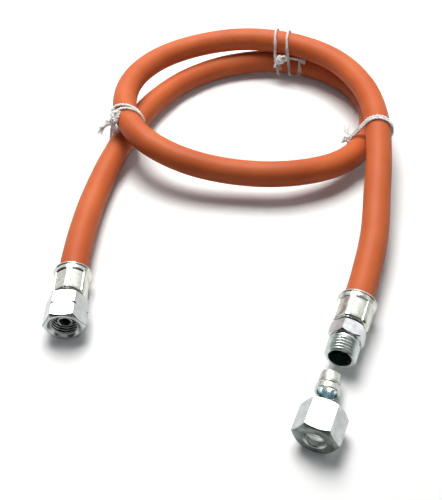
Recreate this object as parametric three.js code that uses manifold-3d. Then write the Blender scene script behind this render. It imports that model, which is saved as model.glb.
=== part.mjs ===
// Flexible gas hose: a rubber hose laid in a loop of almost two turns and tied with three
// cotton strings. A crimped swivel fitting ends it on the left, and a crimped male fitting
// for 8 mm tube on the right, with its cutting ring and compression nut laid out before it.
// Millimetres, +Z up, the object lying on the plane z = 0. Each fitting is built along its
// own +Y axis, which starts at the ferrule's rim and runs away from the hose.
import * as THREE from 'three';
import { mergeVertices } from 'three/addons/utils/BufferGeometryUtils.js';
import Module from 'manifold-3d';

const wasm = await Module();
wasm.setup();

// Clearances
const restGap = 0.3;
const crimpGap = 0.2;
const barbGap = 0.1;
const stringGap = 0.35;

// Hose
const hoseDiameter = 13.5;
const hoseBore = 6.3;
const hoseSides = 12;
const hoseSteps = 80;

// Ferrules, one crimped on each end
const ferruleLength = 15;
const ferruleWall = 1.25;
const ferruleRimWall = 1.95;
const ferrulePanelWall = 0.55;
const ferruleRimLength = 1.6;
const ferruleFlareLength = 1.6;
const ferruleLipLength = 1;
const ferruleEdge = 0.5;
const panelRearMargin = 3.6;
const panelCount = 6;
const ferruleBore = hoseDiameter + 2 * crimpGap;
const ferruleBodyDiameter = ferruleBore + 2 * ferruleWall;
const ferruleRimDiameter = ferruleBore + 2 * ferruleRimWall;
const ferruleAcrossPanels = ferruleBore + 2 * ferrulePanelWall;
const axisHeight = ferruleRimDiameter / 2;

// What both fittings have inside the ferrule
const tailDepth = 0.8;
const tailDiameter = hoseBore - tailDepth;
const tailBore = 4.2;
const tailStart = 0.6;
const barbCount = 3;
const barbLength = 3.4;
const grooveDiameter = 9.2;
const lipBore = grooveDiameter + 2 * restGap;
const insertion = ferruleLength - ferruleLipLength - 0.5;

// Swivel end, for a 1/4 inch gas thread
const shoulderDiameter = 11;
const shoulderLength = 1.2;
const swivelNeckDiameter = 8;
const swivelNutAcrossFlats = 17;
const swivelNutLength = 14.8;
const swivelNutRearWall = 5.9;
const swivelNutBore = 11.5;
const swivelNutMouth = 14.2;
const swivelHeadDiameter = 10.8;
const swivelHeadLength = 1.8;
const coneNoseDiameter = 6.5;
const coneNoseBore = 5;
const notchWidth = 1.1;
const notchDiameter = 18.2;

// Male end, M14 x 1.5 with a 24 degree cone for an 8 mm tube
const tubeDiameter = 8;
const maleHexGap = 1;
const maleHexAcrossFlats = 14;
const maleHexLength = 6.9;
const maleNeckDiameter = 12.2;
const maleNeckLength = 1.9;
const maleThreadDiameter = 13.8;
const maleThreadLength = 7.5;
const maleThreadChamfer = 0.9;
const coneMouthDiameter = 10;
const coneHalfAngle = THREE.MathUtils.degToRad(12);
const coneDepth = 4.5;
const socketDepth = 2.5;
const tubeGap = 0.05;

// Cutting ring and compression nut
const ringNoseDiameter = 8.7;
const ringBodyDiameter = 9.8;
const ringCollarDiameter = 10.5;
const ringNoseLength = 4.4;
const ringLength = 9;
const ringCollarLength = 2.8;
const ringGrooveDepth = 0.25;
const ringGrooveWidth = 0.4;
const nutAcrossFlats = 17;
const nutLength = 14.5;
const nutThreadBore = 12.6;
const nutThreadDepth = 9.5;
const nutMouth = 14.4;
const nutTubeHole = tubeDiameter + 0.2;
const nutHoleChamfer = 0.5;

// Strings
const stringDiameter = 1.6;
const stringSides = 8;
const wrapSteps = 32;
const wrapPoints = 28;
const tailSteps = 6;
const knotRadius = 1.8;

// Places of the two fittings and of the two loose pieces on the floor
const turnedSides = 32;
const hexChamferAngle = THREE.MathUtils.degToRad(30);
const degree = Math.PI / 180;
const leftFitting = { at: [-77, -50, axisHeight], heading: 180 * degree, roll: 30 * degree };
const rightFitting = { at: [52, -71.5, axisHeight], heading: 158.3 * degree, roll: -14.4 * degree };
const looseRing = { at: [36, -107.5, ringCollarDiameter / 2], heading: 162.5 * degree };
const looseNut = { at: [31.3, -125.6, nutAcrossFlats / 2], heading: 156.4 * degree };

// The hose's route between the two fittings, from the swivel end to the male end
const freeRoute = [
  [-76, -20, 8.2], [-73, 6, 7.6], [-67, 34, 8], [-58.3, 61.3, 8.9], [-46, 90, 8],
  [-27, 114.6, 7.4], [-2, 129.4, 7.8], [27, 132.4, 8.9], [56, 123.5, 8], [74.5, 105, 7.4],
  [82, 78, 7.4], [74, 46, 8.6], [56, 23, 12], [28, 11.9, 14.8], [-2, 13.4, 16], [-29.4, 20.8, 19.9],
  [-50, 37, 23], [-60, 63, 22.7], [-58, 91.3, 22.3], [-44, 115.3, 22], [-19, 131.5, 22],
  [11, 136.7, 22.5], [40, 128, 23], [63, 108, 23.4], [76, 80, 23], [79, 50, 22],
  [76, 21, 18.8], [71, -6, 15], [66, -31, 11.4], [58, -56, 9.1],
];
const straightOutside = 8;

// Each tie: a point between the two turns that it holds, the heading of its plane in plan,
// how far the plane leans along the hose for each millimetre of height, the distance
// between its two wraps, any slack under them, its knot, the angle round the loop where
// the wraps leave the knot and how far they keep from it there, and its two tails.
const ties = [
  {
    name: 'string_tie_left', centre: [-57.9, 53.4, 15.7], heading: 14, lean: 0, pitch: 3.1, slack: 0.5,
    ends: [[-63.1, 51.6, 28.9], [-65.4, 54.3, 27.2]], knot: [-64.2, 48.6, 27.3], leave: 42, open: 4,
    tails: [
      [[-64.2, 48.6, 27.3], [-66.2, 48.4, 23.4], [-69, 49.6, 21.4], [-73.6, 50.2, 17.2]],
      [[-64.2, 48.6, 27.3], [-65.2, 48.8, 22], [-64.8, 50.2, 18.6], [-64, 50.4, 16.4]],
    ],
  },
  {
    name: 'string_tie_back', centre: [34.9, 130.1, 15.7], heading: 103.3, lean: -0.12, pitch: 7.6, slack: 0,
    ends: [[29.2, 122.6, 16.2], [36.4, 121, 16.4]], knot: [32.8, 120.9, 16.6], leave: 180, open: 3,
    tails: [
      [[35.7, 121.2, 16.7], [38.6, 121.6, 16.8], [43, 120.6, 16.4], [47.8, 119.2, 15.6]],
      [[42.6, 120.8, 16.2], [44.4, 119.2, 12.6], [44.4, 118.4, 8.5]],
      [[32.8, 120.9, 16.6], [30.4, 120.9, 14.5], [28.6, 120, 12.2]],
    ],
  },
  {
    name: 'string_tie_right', centre: [75.5, 41, 15], heading: 15, lean: 0, pitch: 1.6, slack: 0.35,
    ends: [[64.7, 43.2, 13.9], [64.9, 44.2, 13.7]], knot: [63.6, 43.1, 14], leave: 25, open: 6,
    tails: [
      [[63.6, 43.1, 14], [63.2, 46, 12.6], [63.8, 50, 12.2], [64.6, 54, 12]],
      [[63.6, 43.1, 14], [62.2, 42.6, 12.2], [61.4, 43.6, 10.6]],
    ],
  },
];

const colours = {
  rubber: { color: 0xd2693f, roughness: 0.62, metalness: 0 },
  zinc: { color: 0xd2d6d2, roughness: 0.28, metalness: 0.9 },
  cotton: { color: 0xe9e6de, roughness: 0.95, metalness: 0 },
};

function material(finish) {
  return new THREE.MeshStandardMaterial(colours[finish]);
}

function named(name, geometry, finish) {
  const mesh = new THREE.Mesh(geometry, material(finish));
  mesh.name = name;
  return mesh;
}

function solidOf(geometry) {
  const bare = geometry.clone();
  bare.deleteAttribute('normal');
  bare.deleteAttribute('uv');
  const merged = mergeVertices(bare, 1e-4);
  const vertProperties = new Float32Array(merged.attributes.position.array);
  const triVerts = new Uint32Array(merged.index.array);
  return new wasm.Manifold(new wasm.Mesh({ numProp: 3, vertProperties, triVerts }));
}

function geometryOf(solid) {
  const mesh = solid.getMesh();
  const geometry = new THREE.BufferGeometry();
  geometry.setAttribute('position', new THREE.BufferAttribute(mesh.vertProperties, 3));
  geometry.setIndex(new THREE.BufferAttribute(mesh.triVerts, 1));
  geometry.computeVertexNormals();
  return geometry;
}

// A turned body: its section is a closed outline of [diameter, distance along +Y], outer
// wall first towards +Y and then the bore back.
function turned(outline) {
  const points = outline.map(([diameter, along]) => new THREE.Vector2(diameter / 2, along));
  points.push(points[0].clone());
  return new THREE.LatheGeometry(points, turnedSides);
}

// A hexagonal bar along +Y with one flat up.
function hexBar(acrossFlats, from, to) {
  const corner = acrossFlats / 2 / Math.cos(Math.PI / 6);
  const corners = [];
  for (let i = 0; i < 6; i += 1) {
    const angle = i * Math.PI / 3;
    corners.push(new THREE.Vector2(corner * Math.cos(angle), corner * Math.sin(angle)));
  }
  const shape = new THREE.Shape(corners);
  const bar = new THREE.ExtrudeGeometry(shape, { depth: to - from, bevelEnabled: false });
  bar.rotateX(-Math.PI / 2);
  bar.translate(0, from, 0);
  return bar;
}

function hexCorner(acrossFlats) {
  return acrossFlats / Math.cos(Math.PI / 6);
}

// How far along the axis the usual 30 degree chamfer of a hexagon reaches.
function hexChamfer(acrossFlats, faceDiameter) {
  return (hexCorner(acrossFlats) - faceDiameter) / 2 * Math.tan(hexChamferAngle);
}

// Outer outline of a hexagon between two chamfered faces, with room for its corners.
function chamferedOutline(acrossFlats, faceDiameter, from, to) {
  const wide = hexCorner(acrossFlats) + 0.2;
  const reach = (wide - faceDiameter) / 2 * Math.tan(hexChamferAngle);
  return [[faceDiameter, from], [wide, from + reach], [wide, to - reach], [faceDiameter, to]];
}

const hoseRadius = hoseDiameter / 2;
const fittingFrames = new Map();

function frameOf(place) {
  if (!fittingFrames.has(place)) {
    const matrix = new THREE.Matrix4().makeRotationZ(place.heading);
    matrix.setPosition(...place.at);
    fittingFrames.set(place, matrix);
  }
  return fittingFrames.get(place);
}

function onAxis(place, along) {
  return new THREE.Vector3(0, along, 0).applyMatrix4(frameOf(place));
}

function placed(place, roll, ...meshes) {
  const group = new THREE.Group();
  group.position.set(...place.at);
  group.rotation.set(0, 0, place.heading);
  const rolled = new THREE.Group();
  rolled.rotation.y = roll;
  rolled.add(...meshes);
  group.add(rolled);
  return group;
}

// The hose's centreline, straight inside each ferrule and just outside it.
function hoseCentreline() {
  const steps = [insertion, insertion / 2, 0, -straightOutside];
  const points = [
    ...steps.map((along) => onAxis(leftFitting, along)),
    ...freeRoute.map((point) => new THREE.Vector3(...point)),
    ...[...steps].reverse().map((along) => onAxis(rightFitting, along)),
  ];
  const curve = new THREE.CatmullRomCurve3(points, false, 'centripetal');
  curve.arcLengthDivisions = 1500;
  return curve;
}

function ringShape(diameter, sides, bore) {
  const outline = (size) => {
    const points = [];
    for (let i = 0; i < sides; i += 1) {
      const angle = 2 * Math.PI * i / sides;
      points.push(new THREE.Vector2(size / 2 * Math.cos(angle), size / 2 * Math.sin(angle)));
    }
    return points;
  };
  const shape = new THREE.Shape(outline(diameter));
  if (bore) shape.holes.push(new THREE.Path(outline(bore).reverse()));
  return shape;
}

function tubeAlong(curve, steps, diameter, sides, bore) {
  const shape = ringShape(diameter, sides, bore);
  return new THREE.ExtrudeGeometry(shape, { steps, extrudePath: curve, bevelEnabled: false });
}

// Ferrule: a steel cup with a flared rim, an inner lip at its front and six pressed panels.
function ferrule(name) {
  const front = ferruleLength;
  const bodyStart = ferruleRimLength + ferruleFlareLength;
  const cup = turned([
    [ferruleRimDiameter - ferruleEdge, 0],
    [ferruleRimDiameter, ferruleEdge],
    [ferruleRimDiameter, ferruleRimLength],
    [ferruleBodyDiameter, bodyStart],
    [ferruleBodyDiameter, front - ferruleEdge],
    [ferruleBodyDiameter - 2 * ferruleEdge, front],
    [lipBore, front],
    [lipBore, front - ferruleLipLength],
    [ferruleBore, front - ferruleLipLength],
    [ferruleBore, 2 * ferruleEdge],
    [ferruleBore + 2 * ferruleEdge, 0],
  ]);
  let body = solidOf(cup);
  const flat = ferruleAcrossPanels / 2;
  const tall = ferruleRimDiameter / 2;
  const rise = tall - flat + 1;
  const die = new THREE.Shape([
    new THREE.Vector2(panelRearMargin, flat),
    new THREE.Vector2(front + 1, flat),
    new THREE.Vector2(front + 1, flat + rise),
    new THREE.Vector2(panelRearMargin - rise, flat + rise),
  ]);
  const width = ferruleAcrossPanels * Math.tan(Math.PI / panelCount) + 0.4;
  for (let i = 0; i < panelCount; i += 1) {
    const press = new THREE.ExtrudeGeometry(die, { depth: width, bevelEnabled: false });
    press.translate(0, 0, -width / 2);
    press.rotateZ(Math.PI / 2);
    press.scale(-1, 1, 1);
    press.index = null;
    press.rotateY(2 * Math.PI * i / panelCount + Math.PI / 2);
    body = body.subtract(solidOf(turnedInsideOut(press)));
  }
  return named(name, geometryOf(body), 'zinc');
}

// A mirrored geometry has its triangles turned inside out; this turns them back.
function turnedInsideOut(geometry) {
  const position = geometry.attributes.position;
  for (let i = 0; i < position.count; i += 3) {
    const a = new THREE.Vector3().fromBufferAttribute(position, i);
    const b = new THREE.Vector3().fromBufferAttribute(position, i + 1);
    position.setXYZ(i, b.x, b.y, b.z);
    position.setXYZ(i + 1, a.x, a.y, a.z);
  }
  return geometry;
}

// Outer outline of the barbed tail and of the groove that the ferrule's lip grips.
function tailOutline(shoulderStart) {
  const barb = hoseBore - 2 * barbGap;
  const outline = [[tailDiameter - 0.6, tailStart]];
  for (let i = 0; i < barbCount; i += 1) {
    const start = tailStart + 0.4 + i * barbLength;
    outline.push([tailDiameter, start], [barb, start + barbLength - 0.5]);
    outline.push([tailDiameter, start + barbLength - 0.4]);
  }
  const groove = insertion + restGap;
  outline.push([tailDiameter, groove], [grooveDiameter, groove]);
  outline.push([grooveDiameter, shoulderStart]);
  return outline;
}

const swivelShoulder = ferruleLength + restGap;
const swivelNutRear = swivelShoulder + shoulderLength + restGap;
const swivelHead = swivelNutRear + swivelNutRearWall + restGap;
const swivelNutFront = swivelNutRear + swivelNutLength;

// Nipple of the swivel end: tail, collar, neck, and a head with a 60 degree cone.
function swivelNipple() {
  const coneStart = swivelHead + swivelHeadLength;
  const coneLength = (swivelHeadDiameter - coneNoseDiameter) / 2 / Math.tan(30 * degree);
  const nose = coneStart + coneLength;
  const flare = (coneNoseBore - tailBore) / 2;
  return named('swivel_nipple', turned([
    ...tailOutline(swivelShoulder),
    [shoulderDiameter, swivelShoulder],
    [shoulderDiameter, swivelShoulder + shoulderLength],
    [swivelNeckDiameter, swivelShoulder + shoulderLength],
    [swivelNeckDiameter, swivelHead],
    [swivelHeadDiameter, swivelHead],
    [swivelHeadDiameter, coneStart],
    [coneNoseDiameter, nose],
    [coneNoseBore, nose],
    [coneNoseBore, nose - 1],
    [tailBore, nose - 1 - flare],
    [tailBore, tailStart],
  ]), 'zinc');
}

// Swivel nut: a hexagon with a notch turned across its corners, the mark of a left-hand
// thread. Its rear wall runs behind the nipple's head.
function swivelNut() {
  const face = swivelNutAcrossFlats - 1;
  const [rear, rearWide, frontWide, front] = chamferedOutline(
    swivelNutAcrossFlats, face, swivelNutRear, swivelNutFront);
  const wide = rearWide[0];
  const middle = (swivelNutRear + swivelNutFront) / 2;
  const neckBore = swivelNeckDiameter + 2 * restGap;
  const cavity = swivelNutRear + swivelNutRearWall;
  const countersink = (swivelNutMouth - swivelNutBore) / 2;
  const section = turned([
    rear, rearWide,
    [wide, middle - notchWidth / 2],
    [notchDiameter, middle],
    [wide, middle + notchWidth / 2],
    frontWide, front,
    [swivelNutMouth, swivelNutFront],
    [swivelNutBore, swivelNutFront - countersink],
    [swivelNutBore, cavity],
    [neckBore, cavity],
    [neckBore, swivelNutRear],
  ]);
  const bar = hexBar(swivelNutAcrossFlats, swivelNutRear - 1, swivelNutFront + 1);
  return named('swivel_nut', geometryOf(solidOf(bar).intersect(solidOf(section))), 'zinc');
}

const maleHexStart = ferruleLength + maleHexGap;
const maleHexEnd = maleHexStart + maleHexLength;
const maleThreadStart = maleHexEnd + maleNeckLength;
const maleFront = maleThreadStart + maleThreadLength;

// Male fitting: tail, hexagon and threaded spigot turned from one bar, with a 24 degree
// cone in its mouth and a socket that stops the tube.
function maleFitting() {
  const socket = coneMouthDiameter - 2 * coneDepth * Math.tan(coneHalfAngle);
  const spigot = turned([
    ...tailOutline(maleHexStart),
    [maleNeckDiameter, maleHexStart],
    [maleNeckDiameter, maleThreadStart],
    [maleThreadDiameter, maleThreadStart + 0.5],
    [maleThreadDiameter, maleFront - maleThreadChamfer],
    [maleThreadDiameter - 2 * maleThreadChamfer, maleFront],
    [coneMouthDiameter, maleFront],
    [socket, maleFront - coneDepth],
    [socket, maleFront - coneDepth - socketDepth],
    [tailBore, maleFront - coneDepth - socketDepth],
    [tailBore, tailStart],
  ]);
  const collar = turned([
    ...chamferedOutline(maleHexAcrossFlats, maleHexAcrossFlats - 0.3, maleHexStart, maleHexEnd),
    [maleNeckDiameter - 1, maleHexEnd],
    [maleNeckDiameter - 1, maleHexStart],
  ]);
  const bar = hexBar(maleHexAcrossFlats, maleHexStart - 1, maleHexEnd + 1);
  const hexagon = solidOf(bar).intersect(solidOf(collar));
  return named('male_fitting', geometryOf(solidOf(spigot).add(hexagon)), 'zinc');
}

// Cutting ring: a hardened sleeve that wedges between the tube and the 24 degree cone.
function cuttingRing() {
  const bore = tubeDiameter + 2 * tubeGap;
  const collar = ringLength - ringCollarLength;
  const groove = ringNoseLength + ringGrooveWidth;
  return named('cutting_ring', turned([
    [ringNoseDiameter, 0],
    [ringBodyDiameter - 0.3, ringNoseLength],
    [ringBodyDiameter - 0.3 - 2 * ringGrooveDepth, ringNoseLength],
    [ringBodyDiameter - 0.3 - 2 * ringGrooveDepth, groove],
    [ringBodyDiameter, groove],
    [ringBodyDiameter, groove + ringGrooveWidth],
    [ringCollarDiameter, collar],
    [ringCollarDiameter, ringLength - 0.4],
    [ringCollarDiameter - 0.8, ringLength],
    [bore + 0.6, ringLength],
    [bore, ringLength - 0.4],
    [bore, 0],
  ]), 'zinc');
}

// Compression nut: a hexagon with an internal thread, a 45 degree cone that pushes the
// cutting ring, and a hole for the tube.
function compressionNut() {
  const face = nutAcrossFlats - 1;
  const coneLength = (nutThreadBore - nutTubeHole) / 2;
  const section = turned([
    ...chamferedOutline(nutAcrossFlats, face, 0, nutLength),
    [nutTubeHole + 2 * nutHoleChamfer, nutLength],
    [nutTubeHole, nutLength - nutHoleChamfer],
    [nutTubeHole, nutThreadDepth + coneLength],
    [nutThreadBore, nutThreadDepth],
    [nutThreadBore, (nutMouth - nutThreadBore) / 2],
    [nutMouth, 0],
  ]);
  const bar = hexBar(nutAcrossFlats, -1, nutLength + 1);
  return named('compression_nut', geometryOf(solidOf(bar).intersect(solidOf(section))), 'zinc');
}

// How a tie's loop is found: its leaning plane cuts each turn of the hose, each cut is
// ringed at the string's distance, and the loop is what a tight string makes round both.
function loopFinder(samples, tie) {
  const heading = tie.heading * degree;
  const along = new THREE.Vector3(Math.sin(heading), Math.cos(heading), 0);
  const left = new THREE.Vector3(-along.y, along.x, 0);
  const up = new THREE.Vector3(0, 0, 1);
  const rise = up.clone().addScaledVector(along, tie.lean);
  const middle = new THREE.Vector3(...tie.centre);
  const reach = 2 * hoseDiameter;
  const side = (point) => {
    const away = point.clone().sub(middle);
    return away.dot(along) - tie.lean * away.z;
  };
  const near = (point) => Math.hypot(point.x - middle.x, point.y - middle.y) < reach;
  const sides = samples.map(side);
  return (angle, shift, radius) => {
    const aim = left.clone().multiplyScalar(Math.cos(angle)).addScaledVector(up, Math.sin(angle));
    let best = null;
    for (let i = 0; i + 1 < samples.length; i += 1) {
      const before = sides[i] - shift;
      const after = sides[i + 1] - shift;
      if (before * after > 0 || before === after || !near(samples[i])) continue;
      const centre = samples[i].clone().lerp(samples[i + 1], before / (before - after));
      const course = samples[i + 1].clone().sub(samples[i]).normalize();
      for (let step = 0; step < 180; step += 1) {
        const turn = step * Math.PI / 90;
        const spoke = left.clone().multiplyScalar(Math.cos(turn));
        spoke.addScaledVector(rise, Math.sin(turn));
        const square = spoke.clone().addScaledVector(course, -spoke.dot(course));
        const point = centre.clone().addScaledVector(spoke, radius / square.length());
        if (!best || point.dot(aim) > best.dot(aim)) best = point;
      }
    }
    return best;
  };
}

// String tie: two wraps of one string round both turns, a knot between them, and loose tails.
function stringTie(samples, tie) {
  const radius = hoseRadius + stringGap + tie.slack + stringDiameter / 2;
  const loopPoint = loopFinder(samples, tie);
  const knot = new THREE.Vector3(...tie.knot);
  const wrap = (side) => {
    const end = new THREE.Vector3(...tie.ends[side > 0 ? 1 : 0]);
    const points = [knot.clone(), end];
    for (let i = 0; i <= wrapPoints; i += 1) {
      const angle = tie.leave + (360 - 2 * tie.open) * i / wrapPoints + tie.open;
      points.push(loopPoint(angle * degree, side * tie.pitch / 2, radius));
    }
    points.push(end.clone(), knot.clone());
    return new THREE.CatmullRomCurve3(points, false, 'centripetal');
  };
  const ball = new THREE.SphereGeometry(knotRadius, 12, 8);
  ball.translate(knot.x, knot.y, knot.z);
  let body = solidOf(ball);
  for (const side of [-1, 1]) {
    body = body.add(solidOf(tubeAlong(wrap(side), wrapSteps, stringDiameter, stringSides)));
  }
  for (const tail of tie.tails) {
    const points = tail.map((point) => new THREE.Vector3(...point));
    const path = new THREE.CatmullRomCurve3(points, false, 'centripetal');
    body = body.add(solidOf(tubeAlong(path, tailSteps, stringDiameter, stringSides)));
  }
  return named(tie.name, geometryOf(body.simplify(0.02)), 'cotton');
}

const centreline = hoseCentreline();
const hose = new THREE.Group();
hose.add(named('hose', tubeAlong(centreline, hoseSteps, hoseDiameter, hoseSides, hoseBore), 'rubber'));
hose.add(placed(leftFitting, leftFitting.roll, ferrule('swivel_ferrule')));
hose.add(placed(leftFitting, 0, swivelNipple(), swivelNut()));
hose.add(placed(rightFitting, rightFitting.roll, ferrule('male_ferrule'), maleFitting()));
hose.add(placed(looseRing, 0, cuttingRing()));
hose.add(placed(looseNut, 0, compressionNut()));
const samples = centreline.getSpacedPoints(hoseSteps);
for (const tie of ties) hose.add(stringTie(samples, tie));

export default hose;
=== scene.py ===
# Flexible gas hose, laid in a loop of two turns and tied with string. A swivel nut fitting
# ends it on the left and a male fitting on the right, with a loose cutting ring and nut.
import math

import bmesh
import bpy
from mathutils import Matrix, Vector


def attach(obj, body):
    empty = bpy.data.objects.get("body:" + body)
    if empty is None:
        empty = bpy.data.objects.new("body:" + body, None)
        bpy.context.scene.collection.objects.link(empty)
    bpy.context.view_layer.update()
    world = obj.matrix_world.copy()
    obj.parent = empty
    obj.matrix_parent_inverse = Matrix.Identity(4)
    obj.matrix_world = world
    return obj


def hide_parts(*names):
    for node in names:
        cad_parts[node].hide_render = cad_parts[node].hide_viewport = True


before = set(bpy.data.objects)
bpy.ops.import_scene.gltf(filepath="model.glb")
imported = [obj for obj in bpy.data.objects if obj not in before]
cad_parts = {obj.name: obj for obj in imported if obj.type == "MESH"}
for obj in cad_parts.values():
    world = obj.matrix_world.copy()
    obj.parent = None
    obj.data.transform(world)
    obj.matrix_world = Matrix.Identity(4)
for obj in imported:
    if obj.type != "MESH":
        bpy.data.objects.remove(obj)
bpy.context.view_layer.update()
scene = bpy.context.scene
mm = 0.001

# The camera stands before the fittings and looks down on the loop at 45 degrees, with a
# slight roll. Its distance is from the floor point in the middle of the picture.
camera_pitch = 0.79405
camera_roll = -0.02462
camera_distance = 354.4 * mm
focal_pixels = 715.5
picture_height = 500
floor_middle = Vector((-8 * mm, -28 * mm, 0))
camera_right = Vector((1, 0, 0))
camera_aim = Vector((0, math.cos(camera_pitch), -math.sin(camera_pitch)))
camera_up = camera_right.cross(camera_aim)
level_frame = Matrix((camera_right, camera_up, -camera_aim)).transposed().to_4x4()
camera_data = bpy.data.cameras.new("camera")
camera_data.sensor_width = 36
camera_data.lens = focal_pixels * camera_data.sensor_width / picture_height
camera_data.sensor_fit = "AUTO"
camera_data.clip_start = 0.01
camera = bpy.data.objects.new("camera", camera_data)
camera.matrix_world = (
    Matrix.Translation(floor_middle - camera_aim * camera_distance)
    @ level_frame
    @ Matrix.Rotation(camera_roll, 4, "Z")
)
scene.collection.objects.link(camera)
scene.camera = camera

# A plain white floor and a white surround, as in a catalogue picture. The floor takes the
# soft shadow, throws back less light than it shows, and is plain white away from the hose.
scene.view_settings.view_transform = "Standard"


def maths(tree, operation, *values):
    """A math node. Each value is a number or the output of another node."""
    made = tree.nodes.new("ShaderNodeMath")
    made.operation = operation
    for socket, value in zip(made.inputs, values):
        if isinstance(value, (int, float)):
            socket.default_value = value
        else:
            tree.links.new(value, socket)
    return made.outputs[0]


def smooth_range(tree, value, start, end, low, high):
    """A soft step from low to high while a value goes from start to end."""
    made = tree.nodes.new("ShaderNodeMapRange")
    made.interpolation_type = "SMOOTHSTEP"
    names = ("From Min", "From Max", "To Min", "To Max")
    for name, number in zip(names, (start, end, low, high)):
        made.inputs[name].default_value = number
    tree.links.new(value, made.inputs["Value"])
    return made.outputs["Result"]


world = bpy.data.worlds.new("surround")
scene.world = world
world.use_nodes = True
tree = world.node_tree
nodes, links = tree.nodes, tree.links
nodes.clear()
seen = nodes.new("ShaderNodeLightPath").outputs
surround_light = nodes.new("ShaderNodeBackground")
surround_light.inputs["Color"].default_value = (0.84, 0.95, 1, 1)
surround_light.inputs["Strength"].default_value = 0.09
heading = nodes.new("ShaderNodeTexCoord").outputs["Generated"]
parts = nodes.new("ShaderNodeSeparateXYZ")
links.new(heading, parts.inputs[0])
fade = smooth_range(tree, parts.outputs["Y"], -0.35, 0.55, 0.02, 1)
towards_window = nodes.new("ShaderNodeVectorMath")
towards_window.operation = "DOT_PRODUCT"
towards_window.inputs[1].default_value = (0.17, 0.7, 0.69)
links.new(heading, towards_window.inputs[0])
window = smooth_range(tree, towards_window.outputs["Value"], 0.84, 0.93, 0, 1.8)
mirrored = maths(tree, "MAXIMUM", window, fade)
surround_white = nodes.new("ShaderNodeBackground")
mirrored_or_seen = maths(tree, "MAXIMUM", mirrored, seen["Is Camera Ray"])
links.new(mirrored_or_seen, surround_white.inputs["Color"])
any_sight = maths(tree, "MAXIMUM", seen["Is Camera Ray"], seen["Is Glossy Ray"])
any_sight = maths(tree, "MAXIMUM", any_sight, seen["Is Transmission Ray"])
choice = nodes.new("ShaderNodeMixShader")
surround_out = nodes.new("ShaderNodeOutputWorld")
links.new(any_sight, choice.inputs["Fac"])
links.new(surround_light.outputs[0], choice.inputs[1])
links.new(surround_white.outputs[0], choice.inputs[2])
links.new(choice.outputs[0], surround_out.inputs["Surface"])

floor_mesh = bpy.data.meshes.new("floor")
reach = 4.0
floor_mesh.from_pydata(
    [(-reach, -reach, 0), (reach, -reach, 0), (reach, reach, 0), (-reach, reach, 0)],
    [],
    [(0, 1, 2, 3)],
)
floor = bpy.data.objects.new("floor", floor_mesh)
scene.collection.objects.link(floor)
white_floor = bpy.data.materials.new("white floor")
white_floor.use_nodes = True
tree = white_floor.node_tree
nodes, links = tree.nodes, tree.links
nodes.clear()
path = nodes.new("ShaderNodeLightPath").outputs
matt = nodes.new("ShaderNodeBsdfDiffuse")
bounce = maths(tree, "MULTIPLY_ADD", path["Is Diffuse Ray"], -0.5, 0.9)
links.new(bounce, matt.inputs["Color"])
distance = nodes.new("ShaderNodeVectorMath")
distance.operation = "LENGTH"
links.new(nodes.new("ShaderNodeNewGeometry").outputs["Position"], distance.inputs[0])
far_white = smooth_range(tree, distance.outputs["Value"], 0.2, 0.5, 0, 1)
far_white = maths(tree, "MULTIPLY", far_white, path["Is Camera Ray"])
near_lift = maths(tree, "MAXIMUM", path["Is Camera Ray"], path["Is Glossy Ray"])
near_lift = maths(tree, "MULTIPLY", near_lift, 0.03)
lift = nodes.new("ShaderNodeEmission")
links.new(maths(tree, "ADD", near_lift, far_white), lift.inputs["Strength"])
both = nodes.new("ShaderNodeAddShader")
floor_out = nodes.new("ShaderNodeOutputMaterial")
links.new(matt.outputs[0], both.inputs[0])
links.new(lift.outputs[0], both.inputs[1])
links.new(both.outputs[0], floor_out.inputs["Surface"])
floor_mesh.materials.append(white_floor)


# Lamps: a broad one above the loop's back and a little left, which throws the shadow towards
# the camera, a fill from the front, and a small one from the right for edges in the metal.
def soft_lamp(name, at, towards, width, height, power, color):
    lamp = bpy.data.lights.new(name, "AREA")
    lamp.shape = "RECTANGLE"
    lamp.size = width
    lamp.size_y = height
    lamp.energy = power
    lamp.color = color
    holder = bpy.data.objects.new(name, lamp)
    holder.location = at
    aim = Vector(towards) - Vector(at)
    holder.rotation_euler = aim.to_track_quat("-Z", "Y").to_euler()
    scene.collection.objects.link(holder)


soft_lamp("key lamp", (-0.085, 0.28, 0.68), (0, 0, 0), 0.46, 0.48, 8.3, (1, 0.99, 0.97))
soft_lamp("front fill", (0.1, -1.3, 0.9), (0, 0, 0), 1.2, 0.8, 1.3, (0.96, 0.98, 1))
soft_lamp("right edge", (1.0, -0.1, 0.7), (0, 0, 0.01), 0.5, 0.5, 1, (1, 1, 1))


# Hose: one extruded rubber gas hose with a plain bore. Each end stands straight in its
# ferrule, and between them the hose lies in the loop that its points give.
hose_radius = 6.75 * mm
hose_bore = 3.15 * mm
hose_sides = 32
hose_inserted = 13.5
hose_straight = 8
route_step = 2
left_rim = Vector((-77, -50, 8.9))
left_heading = math.radians(180)
right_rim = Vector((52, -71.5, 8.9))
right_heading = math.radians(158.3)
hose_points = [
    (-76, -20, 8.2), (-73, 6, 7.6), (-67, 34, 8), (-58.3, 61.3, 8.9), (-46, 90, 8),
    (-27, 114.6, 7.4), (-2, 129.4, 7.8), (27, 132.4, 8.9), (56, 123.5, 8), (74.5, 105, 7.4),
    (82, 78, 7.4), (74, 46, 8.6), (56, 23, 12), (28, 11.9, 14.8), (-2, 13.4, 16),
    (-29.4, 20.8, 19.9), (-50, 37, 23), (-60, 63, 22.7), (-58, 91.3, 22.3), (-44, 115.3, 22),
    (-19, 131.5, 22), (11, 136.7, 22.5), (40, 128, 23), (63, 108, 23.4), (76, 80, 23),
    (79, 50, 22), (76, 21, 18.8), (71, -6, 15), (66, -31, 11.4), (58, -56, 9.1),
]


def fitting_axis(heading):
    return Vector((-math.sin(heading), math.cos(heading), 0))


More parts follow.
